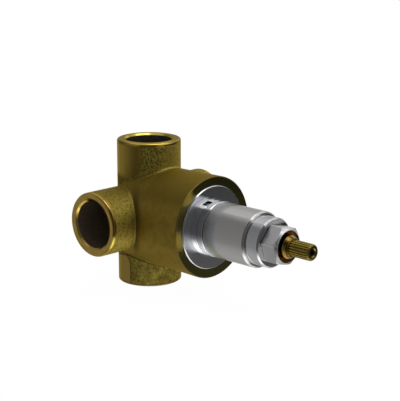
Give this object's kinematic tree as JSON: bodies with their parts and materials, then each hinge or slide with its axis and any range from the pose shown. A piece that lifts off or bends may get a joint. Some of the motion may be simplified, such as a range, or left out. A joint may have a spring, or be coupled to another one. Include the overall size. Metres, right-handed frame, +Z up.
{
  "type": "shower diverter valve",
  "caption": "Cast brass in-wall shower diverter body with pipe sockets, a ceramic disc cartridge behind a plated bonnet, and a splined spindle that picks the outlet.",
  "frame": {"origin": "middle of the inlet socket's pipe stop, where the end of the supply tube seats, in the bottom port", "axes": "+Z up along the vertical ports, from the inlet to the top outlet; -Y out of the wall along the spindle; +X to the right outlet as seen from the front"},
  "size_m": [0.0736, 0.119, 0.0701],
  "materials": {
    "cast_brass": "as-cast, blasted, with machined socket and barrel ends",
    "turned_brass": "turned and polished",
    "bright_plating": "bright nickel chrome plate",
    "satin_plating": "satin nickel plate",
    "pin_steel": "plain stainless",
    "seal_rubber": "black nitrile",
    "cartridge_plastic": "moulded acetal",
    "packing_plastic": "low-friction plastic",
    "ceramic": "lapped alumina"
  },
  "bodies": {
    "valve": {"valve_body": "cast_brass", "locating_pins": "pin_steel", "inlet_seal": "seal_rubber", "outlet_seal_left": "seal_rubber", "outlet_seal_top": "seal_rubber", "outlet_seal_right": "seal_rubber", "cartridge_base": "cartridge_plastic", "fixed_disc": "ceramic", "thrust_washer": "packing_plastic", "cartridge_housing": "cartridge_plastic", "housing_oring": "seal_rubber", "bonnet": "bright_plating", "bonnet_oring": "seal_rubber", "retaining_nut": "bright_plating", "lock_ring": "bright_plating", "sleeve": "satin_plating", "gland_nut": "bright_plating", "gland_packing": "packing_plastic"},
    "stem": {"spindle": "turned_brass", "spindle_clip": "pin_steel", "spindle_oring_inner": "seal_rubber", "spindle_oring_outer": "seal_rubber", "disc_driver": "cartridge_plastic", "moving_disc": "ceramic"}
  },
  "joints": [
    {"name": "stem_turn", "type": "hinge", "parent": "valve", "child": "stem", "pos_m": [0, 0, 0.0147], "axis": [0, -1, 0], "range_deg": [-90, 90]}
  ]
}
